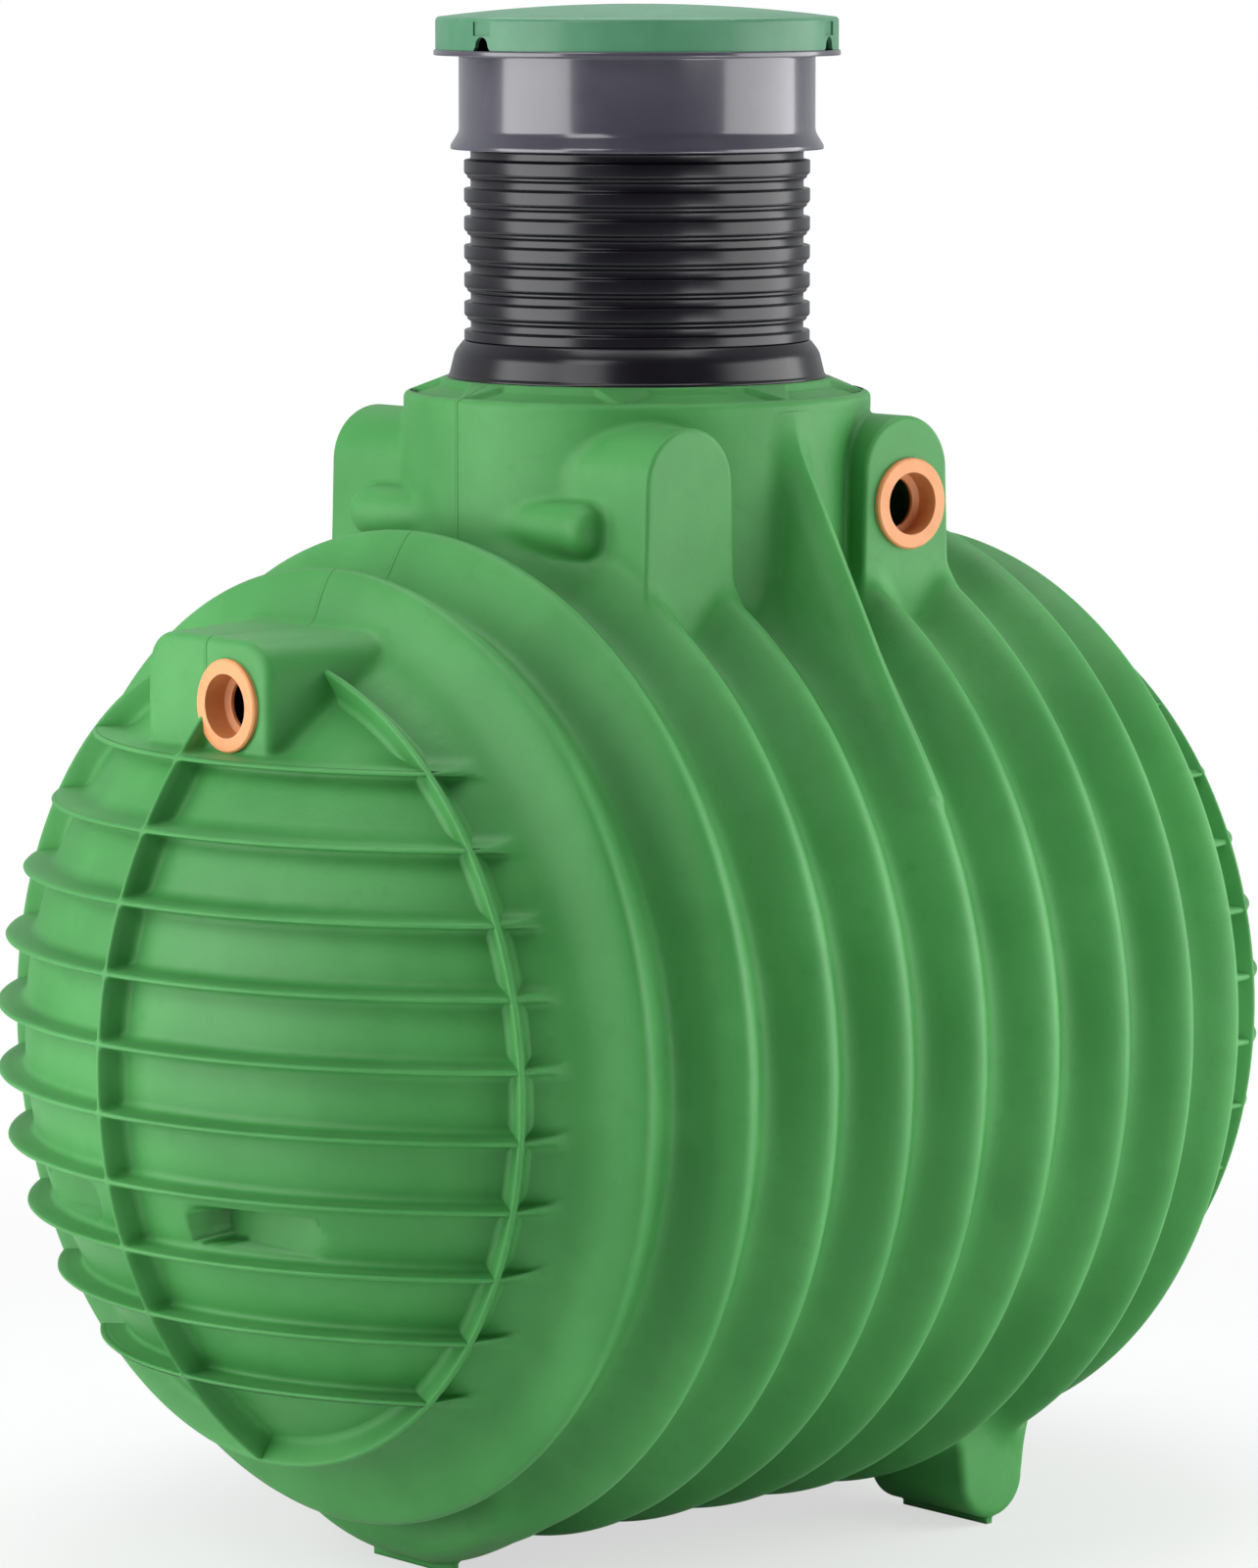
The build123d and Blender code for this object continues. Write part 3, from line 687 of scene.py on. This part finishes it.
# The two ends: shallow domes of the same moulding, each with ten cross ribs, a middle rib
# and two sunk pockets. Their skin is drawn by rays that run along the tank axis, with
# close lines along every rib.
inlet_seal_y = -66.0
inlet_seal_z = 619.0
seal_hole = 65.0
inlet_hole_x = -950.0
no_skin = 100.0


def inlet_bored(points):
    """Points in the round hole that takes the inlet seal."""
    bore = np.hypot(points[..., 1] - inlet_seal_y, points[..., 2] - inlet_seal_z)
    return (bore < seal_hole) & (points[..., 0] < inlet_hole_x)


def end_margin(points):
    """How far a point lies past a domed end, outward over the end ring or on to the box."""
    own = np.minimum(form_of(end_form, points), form_of(rib_form, points))
    margin = np.hypot(points[..., 1], points[..., 2]) - seam_radius
    margin = np.maximum(margin, own - form_of(inlet_box_form, points))
    return np.where(inlet_bored(points), no_skin, margin)


end_reach = 20.0
end_half = 756.0
end_ray_start = 1260.0
cross_ribs = [cross_rib_top - i * cross_rib_pitch for i in range(cross_rib_last + 1)]
rib_lines = (0.0, 3.0, 4.6, 6.0, 8.0, 10.5, 14.0, 19.0, 25.0)
end_z = grid_lines(-end_half, end_half, 11.0, cross_ribs, rib_lines)
end_y = grid_lines(-end_half, end_half, 9.0, (0.0,), rib_lines)
ends = {
    "inlet_end_skin": (-1.0, ("inlet_end", "inlet_end_ribs")),
    "outlet_end_skin": (1.0, ("outlet_end", "outlet_end_ribs")),
}
for part_name, (side, part_nodes) in ends.items():
    y_grid, z_grid = np.meshgrid(end_y, end_z, indexing="ij")
    ray_start = np.stack([np.full_like(y_grid, side * end_ray_start), y_grid, z_grid], -1)
    ray_way = np.zeros_like(ray_start)
    ray_way[..., 0] = -side
    skin_from_rays(part_name, ray_start, ray_way, end_margin, end_reach, *part_nodes)


# The ring rib of each end: a plate of the same moulding that stands square to the dome and
# runs once round the tank axis, thinner towards its top, with a fillet at its root.
def grid_normals(points, outward):
    """Unit normals of a grid from its neighbours, on the side that outward points to."""
    across = np.cross(np.gradient(points, axis=0), np.gradient(points, axis=1))
    across *= np.sign(np.einsum("ijk,ijk->ij", across, outward))[..., None]
    return across / np.maximum(np.linalg.norm(across, axis=-1, keepdims=True), 1e-9)


ring_rib_radius = 708.0
ring_rib_half = np.array((25, 20, 15.5, 12.5, 10.5, 9.2, 8.0, 6.8, 5.9, 5.2, 4.2, 2.4))
ring_rib_rise = np.array((0, 0.8, 3, 6.5, 11, 17, 26, 36, 43, 46.5, 48.8, 49.8)) - 0.6
ring_rib_top = 49.4
ring_rib_wall = 2.0
ring_rib_steps = 361


def ring_rib(name, side):
    """Ring rib: a drafted profile square to the dome, turned once about the tank axis."""
    across = np.concatenate([-ring_rib_half, (0.0,), ring_rib_half[::-1]])
    rise = np.concatenate([ring_rib_rise, (ring_rib_top,), ring_rib_rise[::-1]])
    lean = math.asin(ring_rib_radius / rib_top_radius) + across / (dome_radius + rise)
    radius = (dome_radius + rise) * np.sin(lean)
    along = dome_centre + (dome_radius + rise) * np.cos(lean)
    turn = np.radians(np.linspace(0.0, 360.0, ring_rib_steps))
    s, t = np.meshgrid(np.arange(len(across)), turn, indexing="ij")
    points = np.stack([side * along[s], -radius[s] * np.sin(t), radius[s] * np.cos(t)], -1)
    centre = np.array((side * dome_centre, 0.0, 0.0))
    normals = grid_normals(points, points - centre)
    quads = grid_quads(np.ones(points.shape[:2], bool))
    moulded_wall(name, points, normals, quads, ring_rib_wall)


ring_rib("inlet_ring_rib", -1.0)
ring_rib("outlet_ring_rib", 1.0)


# The neck: the upright cylinder of the same moulding, with four round topped connection
# boxes, their side lobes and two buttresses. Its overhangs need a skin in all directions,
# so a block of cells is laid over it and each cell that the skin crosses gets one corner.
outlet_seal_x = 256.5
outlet_seal_z = 922.0
outlet_hole_y = -420.0
neck_skin_top = neck_top - 4.0


def neck_margin(points):
    """How far a point lies past the neck, towards the barrel or the shoulder."""
    margin = form_of(neck_form, points) - form_of(barrel_form, points)
    bore = np.hypot(points[..., 0] - outlet_seal_x, points[..., 2] - outlet_seal_z)
    bored = (bore < seal_hole) & (points[..., 1] < outlet_hole_y)
    return np.where(bored | (points[..., 2] > neck_skin_top), no_skin, margin)


cell_reach = 36.0
cell_pulls = 6
cell_pull = 0.85


def skin_from_cells(name, low, high, cell, margin_rule, *nodes):
    """Skin from a block of cells: each cell that the moulding crosses gets one corner, drawn
    on to the moulding along its normal, and each change of side between cells one face."""
    axes = [np.arange(low[i], high[i] + cell / 2, cell) for i in range(3)]
    value = np.empty([len(axis) for axis in axes])
    y_grid, z_grid = np.meshgrid(axes[1], axes[2], indexing="ij")
    for i, place in enumerate(axes[0]):
        value[i] = moulding(np.stack([np.full_like(y_grid, place), y_grid, z_grid], -1))
    within = value < 0
    count = [n - 1 for n in within.shape]
    total = np.zeros(count, int)
    for i, j, k in np.ndindex(2, 2, 2):
        total += within[i:i + count[0], j:j + count[1], k:k + count[2]]
    crossed = (total > 0) & (total < 8)
    number = np.full(count, -1)
    number[crossed] = np.arange(crossed.sum())
    points = np.array(low) + cell * (np.argwhere(crossed) + 0.5)
    for _ in range(cell_pulls):
        normals = moulding_normals(points)
        points = points - cell_pull * moulding(points)[:, None] * normals
    normals = moulding_normals(points)
    faces = []
    for axis in range(3):
        flags = np.moveaxis(within, axis, 0)
        change = (flags[:-1] != flags[1:])[:, 1:-1, 1:-1]
        numbers = np.moveaxis(number, axis, 0)
        around = [numbers[:, :-1, :-1], numbers[:, 1:, :-1],
                  numbers[:, 1:, 1:], numbers[:, :-1, 1:]]
        faces.append(np.stack([corner[change] for corner in around], -1))
    quads = np.concatenate(faces)
    margin = margin_rule(points)
    quads = quads[(margin < cell_reach)[quads].all(1)]
    moulded_wall(name, tucked(points, normals, margin), normals, quads, wall_thickness, *nodes)


skin_from_cells("neck_skin_front", (-455.0, -802.0, 425.0), (455.0, 3.0, 1106.0), 5.0,
                neck_margin, "neck_outlet", "neck_outlet_front", "neck_front",
                "neck_inlet_front", "box_inlet_front", "box_outlet_front", "fin_front")
skin_from_cells("neck_skin_rear", (-455.0, -2.0, 425.0), (455.0, 803.0, 1106.0), 5.0,
                neck_margin, "neck_inlet", "neck_inlet_rear", "neck_rear",
                "neck_outlet_rear", "box_inlet_rear", "box_outlet_rear", "fin_rear")


# The inlet box: a drafted box of the same moulding on the first end, round at its top
# corners, which stands out between the ribs to carry the inlet seal.
def inlet_box_margin(points):
    """How far a point lies past the inlet box, towards the dome, its ribs or the barrel."""
    others = np.minimum(form_of(end_form, points), form_of(rib_form, points))
    others = np.minimum(others, form_of(barrel_form, points))
    return np.where(inlet_bored(points), no_skin, form_of(inlet_box_form, points) - others)


skin_from_cells("inlet_box_skin", (-982.0, -262.0, 510.0), (-690.0, 262.0, 800.0), 4.5,
                inlet_box_margin, "inlet_box")


# The feet: three bars of the same moulding below the barrel, each with a round bottom and
# a thin ridge where the mould halves meet.
def foot_margin(points):
    """How far a point lies past a foot, towards the barrel."""
    return form_of(foot_form, points) - form_of(barrel_form, points)


foot_blocks = {
    "foot_outlet_front": ((370.0, -480.0, -944.0), (575.0, -140.0, -650.0)),
    "foot_outlet_rear": ((370.0, 140.0, -944.0), (575.0, 480.0, -650.0)),
    "foot_inlet": ((-620.0, -400.0, -944.0), (-405.0, 400.0, -700.0)),
}
foot_nodes = {"foot_outlet_front": "foot_outlet_front", "foot_outlet_rear": "foot_outlet_rear",
              "foot_inlet": "foot_inlet_end"}
for foot_name, (low_corner, high_corner) in foot_blocks.items():
    skin_from_cells(foot_name + "_skin", low_corner, high_corner, 4.5, foot_margin,
                    foot_nodes[foot_name])


# The shoulder: the sloping top of the neck in the same moulding, with eight raised
# arrowheads round the riser seat and a shallow sunk panel between each two of them.
seat = 1135.0
seat_radius = 345.0
arrow_tip = 405.0
arrow_half = 46.0
arrow_run = 62.0
panel_sink = 11.0
panel_outer = 402.0
panel_inner = 346.0
panel_ramp = 5.0
shoulder_lap = 0.2
shoulder_skirt_z = (1078.0, 1086.0)
seat_ring_r = (341.0, 332.0, 322.0)
seat_ring_z = (1135.6, 1135.8, 1135.8)
shoulder_steps = 961
shoulder_wall = 6.0


def shoulder_mesh():
    """Height over radius and turn: the slope less a smooth sink outside the arrowheads."""
    edge = np.radians(np.linspace(0.0, 70.0, 9))
    round_r = neck_radius - shoulder_round + shoulder_round * np.cos(edge)
    round_z = neck_top + shoulder_round * np.sin(edge)
    slope_r = np.linspace(round_r[-1], seat_radius, 27)[1:]
    slope_z = np.interp(slope_r, (seat_radius, round_r[-1]), (seat, round_z[-1]))
    skirt = np.array((neck_radius - skirt_dip, neck_radius + shoulder_lap))
    radius = np.concatenate([skirt, round_r + shoulder_lap, slope_r, seat_ring_r])
    height = np.concatenate([shoulder_skirt_z, round_z, slope_z, seat_ring_z])
    turn = np.linspace(0.0, 2 * math.pi, shoulder_steps)
    s, t = np.meshgrid(np.arange(len(radius)), turn, indexing="ij")
    r = radius[s]
    sector = (t + math.pi / 8) % (math.pi / 4) - math.pi / 8
    ahead = r * np.cos(sector)
    aside = np.abs(r * np.sin(sector))
    arrow = (ahead - arrow_tip) * arrow_half + aside * arrow_run
    arrow = arrow / math.hypot(arrow_half, arrow_run)
    sunk = np.clip(arrow / 4.0, 0, 1) * np.clip((panel_outer - r) / panel_ramp, 0, 1)
    sunk = sunk * np.clip((r - panel_inner) / panel_ramp, 0, 1)
    sunk = panel_sink * sunk * sunk * (3 - 2 * sunk)
    points = np.stack([r * np.cos(t), r * np.sin(t), height[s] - sunk], -1)
    way = np.stack([np.cos(t), np.sin(t), np.ones_like(t)], -1)
    return points, grid_normals(points, way)


shoulder_points, shoulder_normals = shoulder_mesh()
shoulder_quads = grid_quads(np.ones(shoulder_points.shape[:2], bool))
moulded_wall("shoulder_skin", shoulder_points, shoulder_normals, shoulder_quads, shoulder_wall,
             "neck_shoulder")


# The riser: an extruded tube of black polyethylene with a grooved wall, standing on a
# flared foot with a rim. It is glossy, with faint streaks along it.
def glossy_plastic(name, base, light, rough, coat, level, studs_above=None):
    """Smooth hard plastic with faint streaks; low studs above a height, if one is given."""
    finish = Finish(name)
    streak = finish.noise(1.0, 3.0, 0.6, finish.stretch((90.0, 90.0, 3.0)))
    cloud = finish.noise(9.0, 3.0, 0.6)
    fine = finish.noise(240.0, 2.0, 0.5)
    lighter = cloud.between(0.35, 0.75) * 0.6 + streak.between(0.5, 0.9) * 0.3
    tone = finish.mix(lighter, base, light)
    roughness = rough + 0.08 * cloud + 0.03 * streak
    normal = finish.bump(fine, 0.00006, 0.4, finish.bump(cloud, 0.0005, 0.3))
    if studs_above is not None:
        x, y, z = finish.place()
        row = finish.math("SINE", 180.0 * x)
        column = finish.math("SINE", 180.0 * y)
        stud = (row * column).between(0.15, 0.40) * z.between(studs_above, studs_above + 0.001)
        normal = finish.bump(stud, 0.0012, 0.7, normal)
        tone = finish.mix(0.35 * stud, tone, light)
    finish.surface({"Base Color": tone, "Roughness": roughness, "Normal": normal,
                    "Coat Weight": coat, "Coat Roughness": 0.12, "Specular IOR Level": level})
    return finish.material


def rounded_outline(*corners):
    """A closed outline: each corner (radius, height, rounding) becomes a short arc."""
    line = []
    spots = np.array([corner[:2] for corner in corners], float)
    for i, (r, z, rounding) in enumerate(corners):
        here = spots[i]
        back = spots[i - 1] - here
        ahead = spots[(i + 1) % len(spots)] - here
        cut = min(rounding, np.linalg.norm(back) / 2.01, np.linalg.norm(ahead) / 2.01)
        start = here + back / np.linalg.norm(back) * cut
        stop = here + ahead / np.linalg.norm(ahead) * cut
        if rounding <= 0:
            line.append(here)
            continue
        for t in np.linspace(0.0, 1.0, 5):
            line.append((1 - t) ** 2 * start + 2 * t * (1 - t) * here + t ** 2 * stop)
    return np.array(line)


turned_steps = 240


def turned_piece(name, outline, finish, body, slot, *nodes):
    """A closed outline of radius and height turned once about the upright axis."""
    turn = np.linspace(0.0, 2 * math.pi, turned_steps, endpoint=False)
    s, t = np.meshgrid(np.arange(len(outline)), np.arange(turned_steps), indexing="ij")
    r = outline[s, 0]
    points = np.stack([r * np.cos(turn[t]), r * np.sin(turn[t]), outline[s, 1]], -1)
    places = (points.reshape(-1, 3) + (0.0, 0.0, axis_height)) / 1000.0
    index = s * turned_steps + t
    up = np.roll(index, -1, 0)
    quads = np.stack([index, np.roll(index, -1, 1), np.roll(up, -1, 1), up], -1).reshape(-1, 4)
    mesh = bpy.data.meshes.new(name)
    mesh.from_pydata(places.tolist(), [], quads.tolist())
    area = 0.5 * np.sum(outline[:, 0] * np.roll(outline[:, 1], -1)
                        - np.roll(outline[:, 0], -1) * outline[:, 1])
    if area < 0:
        mesh.flip_normals()
    mesh.polygons.foreach_set("use_smooth", np.ones(len(quads), bool))
    mesh.set_sharp_from_angle(angle=math.radians(32.0))
    placed(name, mesh, finish, body, slot, *nodes)


riser_bore = 284.0
riser_radius = 306.5
groove_radius = 295.0
groove_pitch = 50.0
groove_count = 9
first_groove = 86.0
lip_radius = 301.0
foot_top = seat + 68.0
riser_top = seat + 543.0
riser_black = glossy_plastic("riser_black", (0.005, 0.004, 0.007, 1.0),
                             (0.010, 0.009, 0.013, 1.0), 0.20, 0.0, 0.40)
turned_piece("riser_foot_skin", rounded_outline(
    (riser_bore, seat, 0), (336.0, seat, 2), (336.0, seat + 4.0, 2), (333.0, seat + 7.0, 3),
    (323.5, seat + 46.0, 8), (riser_radius, foot_top, 8), (riser_bore, foot_top, 0)),
    riser_black, "tank", "riser_black", "riser_base")
riser_line = [(riser_bore, foot_top, 0), (riser_radius, foot_top, 0)]
for i in range(groove_count):
    low = seat + first_groove + groove_pitch * i
    riser_line += [(riser_radius, low - 2.0, 2), (groove_radius, low, 3),
                   (groove_radius, low + 14.0, 4), (lip_radius, low + 17.0, 2),
                   (lip_radius, low + 21.0, 2), (riser_radius, low + 25.0, 4)]
riser_line += [(riser_radius, riser_top, 3), (riser_bore, riser_top, 3)]
turned_piece("riser_skin", rounded_outline(*riser_line),
             riser_black, "tank", "riser_black", "riser_pipe")


# The telescopic sleeve: a turned and welded tube of grey plastic with a flared foot and a
# flat flange that the lid rests on; smooth and glossy. A wiping lip near its foot guides it
# on the riser.
sleeve_bore = 309.5
sleeve_radius = 315.5
sleeve_lip = 306.8
flare_radius = 330.5
flange_radius = 360.0
sleeve_grey = glossy_plastic("sleeve_grey", (0.048, 0.045, 0.064, 1.0),
                             (0.064, 0.060, 0.082, 1.0), 0.20, 0.75, 0.50)
turned_piece("sleeve_skin", rounded_outline(
    (sleeve_bore, 1576.0, 0), (sleeve_lip, 1572.0, 0), (sleeve_lip, 1546.0, 0),
    (324.5, 1538.0, 0), (flare_radius, 1538.0, 3), (flare_radius, 1545.0, 4),
    (sleeve_radius, 1569.0, 8), (sleeve_radius, 1703.0, 4), (flange_radius, 1703.0, 3),
    (flange_radius, 1713.0, 3), (sleeve_bore, 1713.0, 2)),
    sleeve_grey, "sleeve", "sleeve_grey", "sleeve")


# The lid: a shallow dome of green plastic with a skirt and three catches, moulded in one
# piece. The CAD model shows it in its right shape and it takes a new material with studs.
def refinished(node_name, finish):
    """Gives a CAD node a new material in each of its slots."""
    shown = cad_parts[node_name]
    for i in range(len(shown.data.materials)):
        shown.data.materials[i] = finish


lid_studs_above = 2.716
lid_green = glossy_plastic("lid_green", (0.062, 0.200, 0.108, 1.0), (0.088, 0.255, 0.145, 1.0),
                           0.34, 0.10, 0.28, lid_studs_above)
refinished("lid", lid_green)


# The two lip seals: rings of soft orange rubber for 110 mm pipe, pressed into their holes.
# They keep their CAD shapes as well.
def soft_rubber(name, base, dark):
    """Soft rubber: an even colour with faint wear and a satin surface."""
    finish = Finish(name)
    cloud = finish.noise(22.0, 3.0, 0.6)
    fine = finish.noise(600.0, 2.0, 0.5)
    tone = finish.mix(cloud.between(0.45, 0.85) * 0.5, base, dark)
    finish.surface({"Base Color": tone, "Roughness": 0.42 + 0.12 * cloud,
                    "Normal": finish.bump(fine, 0.0002, 0.5)})
    return finish.material


seal_rubber = soft_rubber("seal_rubber", (0.66, 0.27, 0.10, 1.0), (0.55, 0.20, 0.065, 1.0))
refinished("inlet_seal", seal_rubber)
refinished("outlet_seal", seal_rubber)
